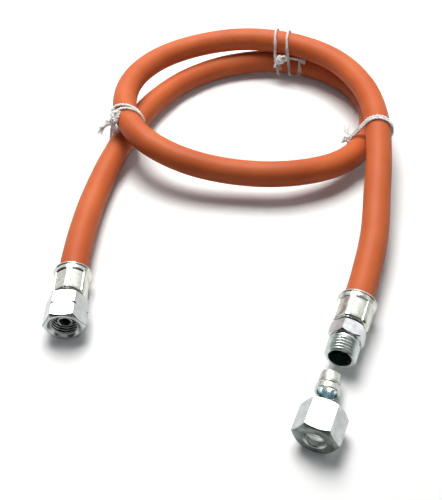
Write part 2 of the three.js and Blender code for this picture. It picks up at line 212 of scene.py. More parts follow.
def smooth_route(points, spacing):
    """Evenly spaced points along the smooth curve through these points."""
    first = points[0] * 2 - points[1]
    last = points[-1] * 2 - points[-2]
    through = [first, *points, last]
    dense = []
    for a, b, c, d in zip(through, through[1:], through[2:], through[3:]):
        before = math.sqrt((b - a).length)
        here = math.sqrt((c - b).length)
        after = math.sqrt((d - c).length)
        leaving = ((b - a) / before - (c - a) / (before + here) + (c - b) / here) * here
        arriving = ((c - b) / here - (d - b) / (here + after) + (d - c) / after) * here
        for step in range(48):
            t = step / 48
            dense.append(
                b * (2 * t**3 - 3 * t**2 + 1)
                + leaving * (t**3 - 2 * t**2 + t)
                + c * (3 * t**2 - 2 * t**3)
                + arriving * (t**3 - t**2)
            )
    dense.append(points[-1].copy())
    lengths = [0.0]
    for a, b in zip(dense, dense[1:]):
        lengths.append(lengths[-1] + (b - a).length)
    count = max(2, round(lengths[-1] / spacing))
    even = []
    at = 0
    for step in range(count + 1):
        wanted = lengths[-1] * step / count
        while at < len(dense) - 2 and lengths[at + 1] < wanted:
            at += 1
        share = (wanted - lengths[at]) / max(lengths[at + 1] - lengths[at], 1e-12)
        even.append(dense[at].lerp(dense[at + 1], min(max(share, 0), 1)))
    return even


def skin_rings(name, rings, marks):
    """A mesh over rings of equal count, with the last ring joined to the first.
    marks are lengths along the rings, kept in the UV map with the share of a turn."""
    count = len(rings[0])
    corners = [point for ring in rings for point in ring]
    faces = []
    for i in range(len(rings)):
        here = i * count
        there = ((i + 1) % len(rings)) * count
        for j in range(count):
            k = (j + 1) % count
            faces.append((here + j, here + k, there + k, there + j))
    mesh = bpy.data.meshes.new(name)
    mesh.from_pydata(corners, [], faces)
    layer = mesh.uv_layers.new(name="along")
    for i in range(len(rings)):
        for j in range(count):
            start = (i * count + j) * 4
            around = ((j, i), (j + 1, i), (j + 1, i + 1), (j, i + 1))
            for corner, (turn, mark) in enumerate(around):
                layer.data[start + corner].uv = (turn / count, marks[mark])
    made = bmesh.new()
    made.from_mesh(mesh)
    bmesh.ops.recalc_face_normals(made, faces=made.faces)
    made.to_mesh(mesh)
    made.free()
    piece = bpy.data.objects.new(name, mesh)
    scene.collection.objects.link(piece)
    return piece


def smooth_by_angle(piece, degrees):
    piece.data.shade_smooth()
    piece.data.set_sharp_from_angle(angle=math.radians(degrees))


straight = [hose_inserted, hose_inserted / 2, 0, -hose_straight]
route_points = [left_rim + fitting_axis(left_heading) * step for step in straight]
route_points += [Vector(point) for point in hose_points]
route_points += [right_rim + fitting_axis(right_heading) * step for step in straight[::-1]]
hose_route = smooth_route([point * mm for point in route_points], route_step * mm)

hose_courses = []
for i, point in enumerate(hose_route):
    ahead = hose_route[min(i + 1, len(hose_route) - 1)]
    behind = hose_route[max(i - 1, 0)]
    hose_courses.append((ahead - behind).normalized())
sides_out = [hose_courses[0].cross(Vector((0, 0, 1))).normalized()]
for course in hose_courses[1:]:
    carried = sides_out[-1] - course * sides_out[-1].dot(course)
    sides_out.append(carried.normalized())


def hose_rings(radius):
    rings = []
    for point, course, side in zip(hose_route, hose_courses, sides_out):
        rise = side.cross(course)
        ring = []
        for j in range(hose_sides):
            angle = 2 * math.pi * j / hose_sides
            ring.append(point + (side * math.cos(angle) + rise * math.sin(angle)) * radius)
        rings.append(ring)
    return rings


outer = hose_rings(hose_radius)
inner = hose_rings(hose_bore)
marks = [route_step * i for i in range(len(outer))]
hose = skin_rings("rubber_hose", outer + inner[::-1], marks + marks[::-1] + [marks[0]])
smooth_by_angle(hose, 50)


def blank_material(name):
    material = bpy.data.materials.new(name)
    material.use_nodes = True
    tree = material.node_tree
    where = tree.nodes.new("ShaderNodeTexCoord").outputs
    return material, tree, tree.nodes["Principled BSDF"].inputs, where


def noise(tree, vector, scale, detail):
    made = tree.nodes.new("ShaderNodeTexNoise")
    made.inputs["Scale"].default_value = scale
    made.inputs["Detail"].default_value = detail
    tree.links.new(vector, made.inputs["Vector"])
    return made.outputs["Fac"]


def two_tones(tree, shader, amount, dark, light):
    """Base colour between two tones, each (place on the ramp, red, green, blue)."""
    tone = tree.nodes.new("ShaderNodeValToRGB")
    for element, (position, *colour) in zip(tone.color_ramp.elements, (dark, light)):
        element.position = position
        element.color = (*colour, 1)
    tree.links.new(amount, tone.inputs["Fac"])
    tree.links.new(tone.outputs["Color"], shader["Base Color"])


def rough_between(tree, shader, amount, low, high):
    spread = tree.nodes.new("ShaderNodeMapRange")
    spread.inputs["To Min"].default_value = low
    spread.inputs["To Max"].default_value = high
    tree.links.new(amount, spread.inputs["Value"])
    tree.links.new(spread.outputs["Result"], shader["Roughness"])


def bumps(tree, shader, height, strength, distance):
    bump = tree.nodes.new("ShaderNodeBump")
    bump.inputs["Strength"].default_value = strength
    bump.inputs["Distance"].default_value = distance
    tree.links.new(height, bump.inputs["Height"])
    tree.links.new(bump.outputs["Normal"], shader["Normal"])


rubber, tree, shader, where = blank_material("terracotta rubber")
shader["Specular IOR Level"].default_value = 0.27
broad = noise(tree, where["Object"], 38, 3)
two_tones(tree, shader, broad, (0.3, 0.46, 0.086, 0.02), (0.72, 0.55, 0.122, 0.032))
fine = noise(tree, where["Object"], 900, 4)
rough_between(tree, shader, fine, 0.46, 0.64)
bumps(tree, shader, fine, 0.18, 0.00006)
hose.data.materials.append(rubber)
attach(hose, "hose_assembly")
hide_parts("hose")


# Ferrules: a pressed steel cup on each end of the hose, zinc plated. Six jaws crimped it,
# which left six flat panels with a rib between each two, up to the flared rim.
turned_angles = [2 * math.pi * i / 96 for i in range(96)]
metal_crease = 24
ferrule_length = 15
ferrule_radius = 8.2
panel_distance = 7.5
panel_start = 3.6


def fitting_stand(at, heading, roll=0):
    """Where a fitting stands: its origin, its axis, and the two directions across it."""
    axis = fitting_axis(heading)
    side = Vector((math.cos(heading), math.sin(heading), 0))
    rise = Vector((0, 0, 1))
    level = side * math.cos(roll) - rise * math.sin(roll)
    upright = side * math.sin(roll) + rise * math.cos(roll)
    return at * mm, axis, level, upright


def turned_piece(name, stand, angles, stops):
    """A closed turned body. Each stop is (radius, along) in millimetres, or gives it for
    an angle round the axis, so that flats, panels and threads can leave the circle."""
    origin, axis, level, upright = stand
    rings = []
    lengths = []
    for stop in stops:
        ring = []
        for angle in angles:
            radius, along = stop(angle) if callable(stop) else stop
            spoke = level * math.cos(angle) + upright * math.sin(angle)
            ring.append(origin + (axis * along + spoke * radius) * mm)
        if rings:
            lengths.append(lengths[-1] + (ring[0] - rings[-1][0]).length / mm)
        else:
            lengths.append(0.0)
        rings.append(ring)
    lengths.append(lengths[-1] + (rings[0][0] - rings[-1][0]).length / mm)
    return skin_rings(name, rings, lengths)


def zinc_plate(name, light, dark, roughness, grain_scale=2600, mark_strength=0.25):
    """Bright zinc on steel: a faint mottle, fine grain, and marks from the lathe."""
    zinc, tree, shader, where = blank_material(name)
    shader["Metallic"].default_value = 1
    cloud = noise(tree, where["Object"], 330, 3)
    cloud.node.inputs["Roughness"].default_value = 0.6
    two_tones(tree, shader, cloud, (0.34, *dark), (0.66, *light))
    rough_between(tree, shader, cloud, roughness - 0.07, roughness + 0.12)
    stretch = tree.nodes.new("ShaderNodeMapping")
    stretch.inputs["Scale"].default_value = (2, 5, 1)
    tree.links.new(where["UV"], stretch.inputs["Vector"])
    lathe = noise(tree, stretch.outputs["Vector"], 1, 3)
    grain = noise(tree, where["Object"], grain_scale, 2)
    heights = maths(tree, "MULTIPLY_ADD", lathe, mark_strength, grain)
    bumps(tree, shader, heights, 0.3, 0.00004)
    return zinc


panel_edge = math.radians(20.5)
rib_foot = math.radians(23.6)
panel_offsets = [panel_edge * i / 6 for i in range(-6, 7)]
panel_offsets += [panel_edge + (rib_foot - panel_edge) * i / 3 for i in range(1, 4)]
panel_offsets += [rib_foot + (math.pi / 3 - 2 * rib_foot) * i / 4 for i in range(1, 4)]
panel_offsets += [math.pi / 3 - rib_foot + (rib_foot - panel_edge) * i / 3 for i in range(3)]
ferrule_angles = [(i + 0.5) * math.pi / 3 + offset for i in range(6) for offset in panel_offsets]


def pressed(radius, along):
    """The cup's wall where a jaw may have pressed it to a flat, or to the slope behind."""

    def stop(angle):
        offset = angle % (math.pi / 3) - math.pi / 6
        rise = max(panel_start - along, 0) ** 1.15
        inward = min(abs(offset) / panel_edge, 1)
        flat = (panel_distance + rise - 0.16 * inward**2) / math.cos(offset)
        climb = min(max((abs(offset) - panel_edge) / (rib_foot - panel_edge), 0), 1)
        return min(radius, flat + (radius + 0.2 - flat) * climb**1.5), along

    return stop


def shrunk(stop, drop):
    """The same stop, closer to the axis, for a rounded edge."""

    def smaller(angle):
        radius, along = stop(angle)
        return radius - drop, along

    return smaller


ferrule_stops = [(7.3, 0.5), (7.45, 0.12), (7.8, 0), (8.45, 0), (8.75, 0.12), (8.9, 0.45)]
ferrule_stops += [(8.9, 0.8), (8.8, 0.93), (8.6, 1.08), (8.47, 1.24), (8.42, 1.45), (8.39, 1.8)]
for step in range(19):
    along = 2.1 + 0.1 * step
    wall = max(ferrule_radius, 8.38 - (along - 2.1) * 0.14)
    ferrule_stops.append(pressed(wall, along))
ferrule_stops += [pressed(ferrule_radius, along) for along in (6, 9, 12, 13.9)]
for drop, along in ((0.1, 14.2), (0.3, 14.6), (0.55, 14.85), (0.9, ferrule_length)):
    ferrule_stops.append(shrunk(pressed(ferrule_radius, along), drop))
ferrule_stops += [(4.95, ferrule_length), (4.9, ferrule_length - 0.1), (4.9, 14)]
ferrule_stops += [(6.95, 14), (6.95, 1.2)]
crimped_zinc = zinc_plate("crimped zinc", (0.66, 0.68, 0.62), (0.5, 0.52, 0.47), 0.2)
left_stand = fitting_stand(left_rim, left_heading)
left_ferrule_stand = fitting_stand(left_rim, left_heading, math.radians(30))
right_stand = fitting_stand(right_rim, right_heading, math.radians(-14.4))
left_ferrule = turned_piece(
    "swivel_end_ferrule", left_ferrule_stand, ferrule_angles, ferrule_stops
)
right_ferrule = turned_piece("male_end_ferrule", right_stand, ferrule_angles, ferrule_stops)
for ferrule, node in ((left_ferrule, "swivel_ferrule"), (right_ferrule, "male_ferrule")):
    smooth_by_angle(ferrule, metal_crease)
    ferrule.data.materials.append(crimped_zinc)
    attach(ferrule, "hose_assembly")
    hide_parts(node)


# Swivel nipple: turned from bar, with a barbed tail in the hose, a groove that the ferrule
# grips, and a head whose 60 degree cone seals. Only its nose shows, inside the nut.
tail_stops = [(2.45, 0.6), (2.75, 1.0)]
for barb in range(3):
    start = 1.0 + 3.4 * barb
    tail_stops += [(3.05, start + 2.9), (2.75, start + 3.0)]
tail_stops += [(2.75, 13.8), (4.6, 13.8)]
nipple_stops = [(2.1, 0.6), *tail_stops, (4.6, 15.3), (5.4, 15.3), (5.5, 15.4), (5.5, 16.4)]
nipple_stops += [(5.4, 16.5), (4, 16.5), (4, 23), (5.3, 23), (5.4, 23.1), (5.4, 24.8)]
nipple_stops += [(3.4, 28.26), (3.25, 28.5), (3.05, 28.52), (2.65, 28.52), (2.5, 28.4)]
nipple_stops += [(2.5, 27.5), (2.1, 27.1)]
nipple = turned_piece("swivel_nipple_body", left_stand, turned_angles, nipple_stops)
smooth_by_angle(nipple, metal_crease)
turned_zinc = zinc_plate("turned zinc", (0.62, 0.6, 0.57), (0.46, 0.45, 0.43), 0.2)
nipple.data.materials.append(turned_zinc)
# Painted shade: a near-black zinc for the hollows of bores and for thread roots.
bore_painted_shade = zinc_plate("bore painted shade", (0.032, 0.048, 0.04), (0.014, 0.02, 0.017), 0.5)


def faces_about(piece, stand):
    """Each face with its place along a stand's axis and its distance from that axis."""
    origin, axis = stand[0], stand[1]
    for face in piece.data.polygons:
        away = (face.center - origin) / mm
        along = away.dot(axis)
        yield face, along, (away - axis * along).length


def paint_bore_shade(piece, stand, radius, start, end):
    """Paints a bore's faces near black: painted shade in the hollow."""
    piece.data.materials.append(bore_painted_shade)
    slot_number = len(piece.data.materials) - 1
    for face, along, depth in faces_about(piece, stand):
        if start < along < end and depth < radius:
            face.material_index = slot_number


paint_bore_shade(nipple, left_stand, 2.62, 0, 28.45)
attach(nipple, "hose_assembly")
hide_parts("swivel_nipple")


# Swivel nut: hexagon steel, chamfered at both ends, with a notch turned across its corners
# that marks a left-hand thread. A 1/4 inch gas thread is cut inside it.
nut_flat = 8.5
nut_rear = 16.8
nut_front = 31.6
nut_face = 8.0
nut_thread_start = nut_front - 1.1
nut_thread_end = 23.6
nut_thread_crest = 5.75
nut_thread_root = 6.58
notch_floor = 8.9
notch_slope = 1.35
gas_pitch = 1.337
hexagon_angles = [math.radians(i * 60 + j * 3.75) for i in range(6) for j in range(16)]


def hexagon_radius(angle, flat):
    return flat / math.cos(angle % (math.pi / 3) - math.pi / 6)


def hexagon_stops(flat, face, rear, front, notch_at=None):
    """The outside of a hexagon between its two chamfered faces, rear to front."""
    rise = math.tan(math.radians(30))

    def rear_edge(angle):
        radius = hexagon_radius(angle, flat)
        return radius, rear + max(radius - face, 0) * rise

    def front_edge(angle):
        radius = hexagon_radius(angle, flat)
        return radius, front - max(radius - face, 0) * rise - 0.14

    def broken_edge(angle):
        radius = max(hexagon_radius(angle, flat) - 0.3, face + 0.03)
        return radius, front - (radius - face) * rise

    def notch(side):
        def stop(angle):
            radius = hexagon_radius(angle, flat)
            width = max(radius - notch_floor, 0) / notch_slope
            return (radius if side else min(radius, notch_floor)), notch_at + side * width

        return stop

    middle = [notch(-1), notch(0), notch(1)] if notch_at else []
    return [(face, rear), rear_edge, *middle, front_edge, broken_edge, (face, front)]


def thread_stops(tip, root, pitch, start, end, hand, lead=0.0):
    """A cut thread between two places along the axis. hand is 1 for a right-hand one."""
    count = max(2, round(abs(end - start) / pitch * 9))
    stops = []
    for step in range(count + 1):
        along = start + (end - start) * step / count
        fade = min(1, min(abs(along - start), abs(end - along)) / (0.35 * pitch) + lead)

        def stop(angle, along=along, fade=fade):
            phase = (along / pitch + hand * angle / (2 * math.pi)) % 1
            depth = min(max((abs(2 * phase - 1) - 0.12) / 0.76, 0), 1)
            return tip + (root - tip) * depth * fade, along

        stops.append(stop)
    return stops


nut_stops = [(4.3, nut_rear + 0.3), (4.6, nut_rear)]
nut_stops += hexagon_stops(nut_flat, nut_face, nut_rear, nut_front, (nut_rear + nut_front) / 2)
nut_stops += [(7.3, nut_front), (7.1, nut_front - 0.12), (6.2, nut_front - 1.0)]
nut_stops += thread_stops(
    nut_thread_crest, nut_thread_root, gas_pitch, nut_thread_start, nut_thread_end, -1
)
nut_stops += [(nut_thread_crest, 23.3), (nut_thread_crest, 22.7), (4.3, 22.7)]
swivel_nut = turned_piece("swivel_nut_body", left_stand, hexagon_angles, nut_stops)
nut_zinc = zinc_plate("nut zinc", (0.57, 0.6, 0.6), (0.43, 0.45, 0.46), 0.22)
# Painted reflection: a dark, smooth zinc for broken edges and notches, standing in for the dark
# space they mirror.
edge_zinc_painted_dark = zinc_plate("edge zinc painted dark", (0.24, 0.26, 0.27), (0.15, 0.17, 0.175), 0.12)
# Painted highlight: a pale, rough zinc for thread crests, standing in for the light they catch.
crest_painted_highlight = zinc_plate("crest painted highlight", (0.9, 0.93, 0.9), (0.7, 0.73, 0.7), 0.42)


def polish_edges(piece, stand, flat):
    """The broken front edges and notch are smooth, with a painted dark reflection."""
    origin, axis, level, upright = stand
    piece.data.materials.append(edge_zinc_painted_dark)
    slot_number = len(piece.data.materials) - 1
    for face in piece.data.polygons:
        away = (face.center - origin) / mm
        around = away - axis * away.dot(axis)
        angle = math.atan2(around.dot(upright), around.dot(level))
        below = hexagon_radius(angle, flat) - around.length
        slant = abs(face.normal.dot(axis))
        if (below < 0.25 and 0.5 < slant < 0.8) or (below < 1 and 0.77 < slant < 0.83):
            face.material_index = slot_number


smooth_by_angle(swivel_nut, metal_crease)
swivel_nut.data.materials.append(nut_zinc)
polish_edges(swivel_nut, left_stand, nut_flat)
swivel_nut.data.materials.append(bore_painted_shade)
swivel_nut.data.materials.append(crest_painted_highlight)
# Inside the nut the thread's roots get painted shade and its crests a painted highlight.
for face, along, depth in faces_about(swivel_nut, left_stand):
    if depth < nut_thread_root + 0.12 and nut_thread_end < along < nut_thread_start:
        face.material_index = 2 if depth > nut_thread_crest + 0.23 else 3
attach(swivel_nut, "swivel")
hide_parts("swivel_nut")


# Male fitting: one turned body with the same barbed tail, a 14 mm hexagon, a neck and an
# M14 thread. The 24 degree cone in its mouth takes the cutting ring.
spigot_start = 24.8
spigot_front = 32.3
spigot_radius = 6.9
spigot_root = 6.2
spigot_pitch = 1.5


def spigot_thread(stop):
    """Keeps a thread stop inside the chamfer at the spigot's end."""

    def held(angle):
        radius, along = stop(angle)
        return min(radius, spigot_radius - max(along - (spigot_front - 0.9), 0)), along

    return held


male_stops = [(2.1, 0.6), *tail_stops, (4.6, 16.0)]
male_stops += hexagon_stops(7, 6.85, 16.0, 22.9)
male_stops += [(6.1, 22.9), (6.1, 24.6)]
male_thread = thread_stops(
    spigot_radius, spigot_root, spigot_pitch, spigot_start, spigot_front, 1, 0.3
)
male_stops += [spigot_thread(stop) for stop in male_thread]
male_stops += [(5.15, spigot_front), (5, spigot_front - 0.1), (4.04, 27.8), (4.04, 25.3)]
male_stops += [(2.1, 25.3)]
male_fitting = turned_piece("male_fitting_body", right_stand, hexagon_angles, male_stops)
smooth_by_angle(male_fitting, metal_crease)
male_zinc = zinc_plate("spigot zinc", (0.7, 0.73, 0.72), (0.54, 0.54, 0.57), 0.2)
male_fitting.data.materials.append(male_zinc)
rolled_zinc = zinc_plate("rolled zinc", (0.66, 0.73, 0.69), (0.52, 0.59, 0.56), 0.33)
male_fitting.data.materials.append(rolled_zinc)
# Painted shade: a dark green-grey zinc for the hollow of the mouth's cone.
mouth_painted_shade = zinc_plate("mouth painted shade", (0.2, 0.34, 0.26), (0.04, 0.08, 0.06), 0.4)
male_fitting.data.materials.append(mouth_painted_shade)
# The thread takes the rolled zinc, and the mouth's cone painted shade.
for face, along, depth in faces_about(male_fitting, right_stand):
    if along > spigot_start and depth > spigot_root - 0.1:
        face.material_index = 1
    elif along > 25.4 and depth < 4.9:
        face.material_index = 2
paint_bore_shade(male_fitting, right_stand, 4.02, 0, 25.5)
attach(male_fitting, "hose_assembly")
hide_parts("male_fitting")


# Cutting ring: a hardened and plated steel sleeve, turned with a tapered nose and two fine
# rings before its collar. It lies loose before the spigot.
ring_stand = fitting_stand(Vector((36, -107.5, 5.25)), math.radians(162.5))
ring_bore = 4.05
ring_stops = [(ring_bore, 0), (4.3, 0), (4.35, 0.06), (4.72, 4.35), (4.52, 4.42), (4.52, 4.7)]
ring_stops += [(4.78, 4.76), (4.82, 5.1), (4.6, 5.16), (4.6, 5.4), (4.9, 5.46), (5.2, 6.1)]
ring_stops += [(5.25, 6.25), (5.25, 8.6), (5.1, 8.9), (4.85, 9), (4.4, 9), (4.12, 8.85)]
ring_stops += [(ring_bore, 8.5)]
cutting_ring = turned_piece("cutting_ring_body", ring_stand, turned_angles, ring_stops)
smooth_by_angle(cutting_ring, metal_crease)
ring_zinc = zinc_plate("ring zinc", (0.52, 0.64, 0.67), (0.4, 0.5, 0.53), 0.22)
cutting_ring.data.materials.append(ring_zinc)
cutting_ring.data.materials.append(crimped_zinc)
for face, _, depth in faces_about(cutting_ring, ring_stand):
    if depth > ring_bore + 0.15:
        face.material_index = 1
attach(cutting_ring, "hose_assembly")
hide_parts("cutting_ring")


# Compression nut: hexagon steel with strong chamfers, an M14 thread towards the ring and a
# plain hole for the tube in its ground rear face. It lies loose on one flat.
loose_nut_stand = fitting_stand(Vector((31.3, -125.6, nut_flat)), math.radians(156.4))
loose_nut_length = 14.5
loose_stops = [(6.9, 0.15), (7.2, 0)]
loose_stops += hexagon_stops(nut_flat, 7.75, 0, loose_nut_length)
loose_stops += [(4.75, loose_nut_length), (4.6, loose_nut_length - 0.06)]
loose_stops += [(4.1, loose_nut_length - 0.5), (4.1, 11.75), (6.3, 9.5)]
loose_stops += thread_stops(6.3, 7.05, spigot_pitch, 9.3, 0.9, 1)
loose_nut = turned_piece("compression_nut_body", loose_nut_stand, hexagon_angles, loose_stops)
smooth_by_angle(loose_nut, metal_crease)
ground_zinc = zinc_plate("ground zinc", (0.27, 0.3, 0.28), (0.12, 0.14, 0.13), 0.34, 1400, 0.6)
loose_nut.data.materials.append(nut_zinc)
loose_nut.data.materials.append(ground_zinc)
loose_nut.data.materials.append(crest_painted_highlight)
polish_edges(loose_nut, loose_nut_stand, nut_flat)
# The rear face takes the ground zinc, and the thread inside a painted highlight for light coming
# through the nut.
for face, along, depth in faces_about(loose_nut, loose_nut_stand):
    facing_back = face.normal.dot(loose_nut_stand[1]) > 0.84
    if facing_back and abs(along - loose_nut_length) < 1.3 and depth > 4.7:
        face.material_index = 1
    elif 0.5 < along < 11.8 and depth < 7.1:
        face.material_index = 2
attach(loose_nut, "hose_assembly")
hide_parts("compression_nut")


# String ties: soft cotton string, two yarns twisted together. Each tie goes twice round
# both turns of the hose to a knot, its ends fray, and loose fibres stand off the yarns.
loop_radius = 7.55
tie_reach = 27


def loop_round_hose(tie, shift, angle):
    """Where a tight string lies on a tie's plane, at an angle round the loop."""
    heading, turn = math.radians(tie["heading"]), math.radians(angle)
    along = Vector((math.sin(heading), math.cos(heading), 0))
    left = Vector((-along.y, along.x, 0))
    rise = Vector((0, 0, 1)) + along * tie["lean"]
    aim = left * math.cos(turn) + Vector((0, 0, 1)) * math.sin(turn)
    middle = Vector(tie["centre"])
    held = []
    for here, ahead in zip(hose_route, hose_route[1:]):
        away, onward = here / mm - middle, ahead / mm - middle
        if away.xy.length > tie_reach:
            continue
        before = away.dot(along) - tie["lean"] * away.z - shift
        after = onward.dot(along) - tie["lean"] * onward.z - shift
        if (before < 0) == (after < 0):
            continue
        crossing = middle + away.lerp(onward, before / (before - after))
        course = (onward - away).normalized()
        for step in range(180):
            swing = step * math.pi / 90
            spoke = left * math.cos(swing) + rise * math.sin(swing)
            square = spoke - course * spoke.dot(course)
            held.append(crossing + spoke * loop_radius / square.length)
    return max(held, key=lambda point: point.dot(aim))


def knot_path(centre, size, turned):
    """A small overhand knot pulled tight, as one closed path."""
    points = []
    for step in range(37):
        t = 2 * math.pi * step / 36
        across = Vector(
            (math.sin(t) + 2 * math.sin(2 * t), math.cos(t) - 2 * math.cos(2 * t), -math.sin(3 * t))
        )
        tipped = Matrix.Rotation(turned, 3, "X") @ across
        points.append(Vector(centre) + tipped * size / 3)
    return points


def string_tree():
    """Twists yarns along the plain paths, frays the marked ones and adds the fibres."""
    tree = bpy.data.node_groups.new("frayed string", "GeometryNodeTree")
    face = tree.interface
    face.new_socket("Paths", in_out="INPUT", socket_type="NodeSocketGeometry")
    for name, kind, value in (
        ("Yarn radius", "NodeSocketFloat", 0.5 * mm),
        ("Yarn offset", "NodeSocketFloat", 0.36 * mm),
        ("Twist length", "NodeSocketFloat", 3.3 * mm),
        ("Fibre density", "NodeSocketFloat", 900000.0),
        ("Fibre length", "NodeSocketFloat", 1.0 * mm),
        ("Fibre radius", "NodeSocketFloat", 0.028 * mm),
        ("Frayed threads", "NodeSocketInt", 34),
        ("Fray spread", "NodeSocketFloat", 1.9 * mm),
        ("Seed", "NodeSocketInt", 7),
    ):
        face.new_socket(name, in_out="INPUT", socket_type=kind).default_value = value
    face.new_socket("Cotton", in_out="INPUT", socket_type="NodeSocketMaterial")
    face.new_socket("String", in_out="OUTPUT", socket_type="NodeSocketGeometry")

    def node(kind, **settings):
        made = tree.nodes.new(kind)
        for name, value in settings.items():
            setattr(made, name, value)
        return made

    def join(start, end):
        tree.links.new(start, end)

    given = node("NodeGroupInput").outputs
    marked = node("GeometryNodeInputNamedAttribute", data_type="BOOLEAN")
    marked.inputs["Name"].default_value = "frayed"
    plain = node("FunctionNodeBooleanMath", operation="NOT")
    join(marked.outputs["Attribute"], plain.inputs[0])

    # The two yarns are one profile of two circles, turned as it goes along the path.
    string_curve = node("GeometryNodeMeshToCurve")
    join(given["Paths"], string_curve.inputs["Mesh"])
    join(plain.outputs[0], string_curve.inputs["Selection"])
    even = node("GeometryNodeResampleCurve", mode="LENGTH")
    even.inputs["Length"].default_value = 0.3 * mm
    join(string_curve.outputs["Curve"], even.inputs["Curve"])
    travelled = node("GeometryNodeSplineParameter")
    turned = maths(tree, "MULTIPLY", travelled.outputs["Length"], 2 * math.pi)
    turned = maths(tree, "DIVIDE", turned, given["Twist length"])
    tilt = node("GeometryNodeSetCurveTilt")
    join(even.outputs["Curve"], tilt.inputs["Curve"])
    join(turned, tilt.inputs["Tilt"])
    circle = node("GeometryNodeCurvePrimitiveCircle")
    circle.inputs["Resolution"].default_value = 9
    join(given["Yarn radius"], circle.inputs["Radius"])
    both = node("GeometryNodeJoinGeometry")
    for sign in (-1, 1):
        moved = node("GeometryNodeTransform")
        place = node("ShaderNodeCombineXYZ")
        join(maths(tree, "MULTIPLY", given["Yarn offset"], sign), place.inputs["X"])
        join(circle.outputs["Curve"], moved.inputs["Geometry"])
        join(place.outputs[0], moved.inputs["Translation"])
        join(moved.outputs["Geometry"], both.inputs[0])
    yarns = node("GeometryNodeCurveToMesh")
    yarns.inputs["Fill Caps"].default_value = True
    join(tilt.outputs["Curve"], yarns.inputs["Curve"])
    join(both.outputs[0], yarns.inputs["Profile Curve"])
    rounded = node("GeometryNodeSetShadeSmooth")
    join(yarns.outputs["Mesh"], rounded.inputs["Geometry"])

    # The frayed ends: each marked path as many threads that part from each other.
    fray_curve = node("GeometryNodeMeshToCurve")
    join(given["Paths"], fray_curve.inputs["Mesh"])
    join(marked.outputs["Attribute"], fray_curve.inputs["Selection"])
    stepped = node("GeometryNodeResampleCurve", mode="LENGTH")
    stepped.inputs["Length"].default_value = 0.7 * mm
    join(fray_curve.outputs["Curve"], stepped.inputs["Curve"])
    threads = node("GeometryNodeDuplicateElements", domain="SPLINE")
    join(stepped.outputs["Curve"], threads.inputs["Geometry"])
    join(given["Frayed threads"], threads.inputs["Amount"])
    number = node("GeometryNodeFieldOnDomain", data_type="INT", domain="CURVE")
    join(node("GeometryNodeInputIndex").outputs[0], number.inputs["Value"])
    parting = node("FunctionNodeRandomValue", data_type="FLOAT_VECTOR")
    parting.inputs["Min"].default_value = (-1, -1, -1)
    parting.inputs["Max"].default_value = (1, 1, 1)
    join(number.outputs["Value"], parting.inputs["ID"])
    join(given["Seed"], parting.inputs["Seed"])
    wander = node("ShaderNodeTexNoise")
    wander.inputs["Scale"].default_value = 420
    wander.inputs["Detail"].default_value = 1
    shifted = node("ShaderNodeVectorMath", operation="MULTIPLY_ADD")
    join(parting.outputs["Value"], shifted.inputs[0])
    shifted.inputs[1].default_value = (0.013, 0.011, 0.017)
    join(node("GeometryNodeInputPosition").outputs[0], shifted.inputs[2])
    join(shifted.outputs[0], wander.inputs["Vector"])
    centred = node("ShaderNodeVectorMath", operation="SUBTRACT")
    join(wander.outputs["Color"], centred.inputs[0])
    centred.inputs[1].default_value = (0.5, 0.5, 0.5)
    summed = node("ShaderNodeVectorMath", operation="MULTIPLY_ADD")
    join(centred.outputs[0], summed.inputs[0])
    summed.inputs[1].default_value = (2.2, 2.2, 2.2)
    join(parting.outputs["Value"], summed.inputs[2])
    opened = maths(tree, "POWER", travelled.outputs["Factor"], 1.3)
    opened = maths(tree, "ADD", opened, 0.18)
    scaled = node("ShaderNodeVectorMath", operation="SCALE")
    join(summed.outputs[0], scaled.inputs[0])
    join(maths(tree, "MULTIPLY", opened, given["Fray spread"]), scaled.inputs["Scale"])
    parted = node("GeometryNodeSetPosition")
    join(threads.outputs["Geometry"], parted.inputs["Geometry"])
    join(scaled.outputs[0], parted.inputs["Offset"])
    thread_round = node("GeometryNodeCurvePrimitiveCircle")
    thread_round.inputs["Resolution"].default_value = 3
    join(maths(tree, "MULTIPLY", given["Fibre radius"], 2.4), thread_round.inputs["Radius"])
    frays = node("GeometryNodeCurveToMesh")
    join(parted.outputs["Geometry"], frays.inputs["Curve"])
    join(thread_round.outputs["Curve"], frays.inputs["Profile Curve"])

    # Loose fibres: short bent hairs, strewn over the yarns.
    hair = node("GeometryNodeCurvePrimitiveBezierSegment")
    hair.inputs["Resolution"].default_value = 3
    hair.inputs["Start"].default_value = (0, 0, 0)
    hair.inputs["Start Handle"].default_value = (0, 0, 0.4)
    hair.inputs["End Handle"].default_value = (0.35, 0.15, 0.75)
    hair.inputs["End"].default_value = (0.95, 0.1, 0.7)
    sized = node("GeometryNodeTransform")
    length_out = node("ShaderNodeCombineXYZ")
    for axis in "XYZ":
        join(given["Fibre length"], length_out.inputs[axis])
    join(hair.outputs["Curve"], sized.inputs["Geometry"])
    join(length_out.outputs[0], sized.inputs["Scale"])
    hair_round = node("GeometryNodeCurvePrimitiveCircle")
    hair_round.inputs["Resolution"].default_value = 3
    join(given["Fibre radius"], hair_round.inputs["Radius"])
    hair_mesh = node("GeometryNodeCurveToMesh")
    join(sized.outputs["Geometry"], hair_mesh.inputs["Curve"])
    join(hair_round.outputs["Curve"], hair_mesh.inputs["Profile Curve"])
    strewn = node("GeometryNodeDistributePointsOnFaces")
    join(yarns.outputs["Mesh"], strewn.inputs["Mesh"])
    join(given["Fibre density"], strewn.inputs["Density"])
    join(given["Seed"], strewn.inputs["Seed"])
    spin = node("FunctionNodeRandomValue", data_type="FLOAT_VECTOR")
    spin.inputs["Min"].default_value = (-0.5, -0.5, -math.pi)
    spin.inputs["Max"].default_value = (0.5, 0.5, math.pi)
    join(given["Seed"], spin.inputs["Seed"])
    spun = node("FunctionNodeRotateRotation", rotation_space="LOCAL")
    join(strewn.outputs["Rotation"], spun.inputs["Rotation"])
    join(spin.outputs["Value"], spun.inputs["Rotate By"])
